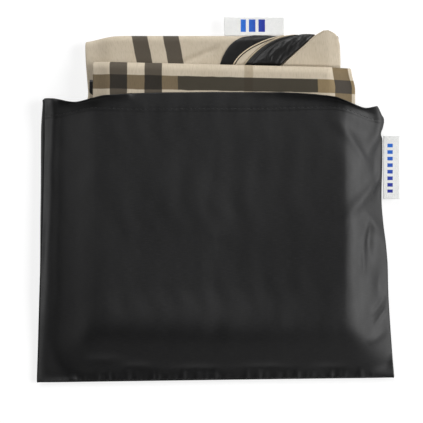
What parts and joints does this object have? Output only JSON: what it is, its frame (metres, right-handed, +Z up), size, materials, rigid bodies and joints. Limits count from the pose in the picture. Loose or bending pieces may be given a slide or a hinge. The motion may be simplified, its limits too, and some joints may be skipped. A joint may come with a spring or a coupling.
{
  "type": "fabric storage pouch with folded rain wrap",
  "caption": "Flat sewn cloth pouch with a hemmed mouth, holding a folded checked rain wrap that slides out, with a fold-over side tag and a neck label.",
  "frame": {"origin": "on the table, under the middle of the pouch, which lies on its back panel", "axes": "+X to the right across the pouch, +Y out of its mouth, +Z up from the table through the front panel"},
  "size_m": [0.2546, 0.254, 0.0258],
  "materials": {
    "pouch_cloth": "black polyester satin with a soft broad sheen",
    "pouch_thread": "matt black sewing thread",
    "plaid_cloth": "smooth woven polyester, beige with a brown and tan check",
    "piping_cloth": "satin bias tape",
    "lining_satin": "glossy black coated satin",
    "label_ribbon": "white woven ribbon with blue woven bars"
  },
  "bodies": {
    "pouch": {"pouch_front_panel": "pouch_cloth", "pouch_back_panel": "pouch_cloth", "front_mouth_hem": "pouch_cloth", "back_mouth_hem": "pouch_cloth", "left_side_seam": "pouch_cloth", "right_side_seam": "pouch_cloth", "bottom_seam": "pouch_cloth", "front_hem_thread": "pouch_thread", "bottom_seam_thread": "pouch_thread", "side_tag_tail": "label_ribbon"},
    "side_tag": {"side_tag": "label_ribbon"},
    "wrap": {"back_panel_fold": "plaid_cloth", "side_panel_fold": "plaid_cloth", "front_panel_fold": "plaid_cloth", "hood_fold": "plaid_cloth", "lining_fold": "lining_satin", "lining_band_narrow": "lining_satin", "lining_band_wide": "lining_satin", "edge_piping_outer": "piping_cloth", "edge_piping_inner": "piping_cloth", "turned_edge_strip": "plaid_cloth", "corner_flap": "plaid_cloth"},
    "neck_label": {"neck_label": "label_ribbon"}
  },
  "joints": [
    {"name": "wrap_slide", "type": "slide", "parent": "pouch", "child": "wrap", "axis": [0, 1, 0], "range_m": [-0.008, 0.18]},
    {"name": "side_tag_bend", "type": "hinge", "parent": "pouch", "child": "side_tag", "pos_m": [0.11864, 0.05075, 0.00325], "axis": [0, -1, 0], "range_deg": [-8, 95], "stiffness_Nm_per_rad": 0.0005},
    {"name": "neck_label_bend", "type": "hinge", "parent": "wrap", "child": "neck_label", "pos_m": [0.027, 0.14375, 0.0065], "axis": [1, 0, 0], "range_deg": [-12, 85], "stiffness_Nm_per_rad": 0.0005}
  ]
}
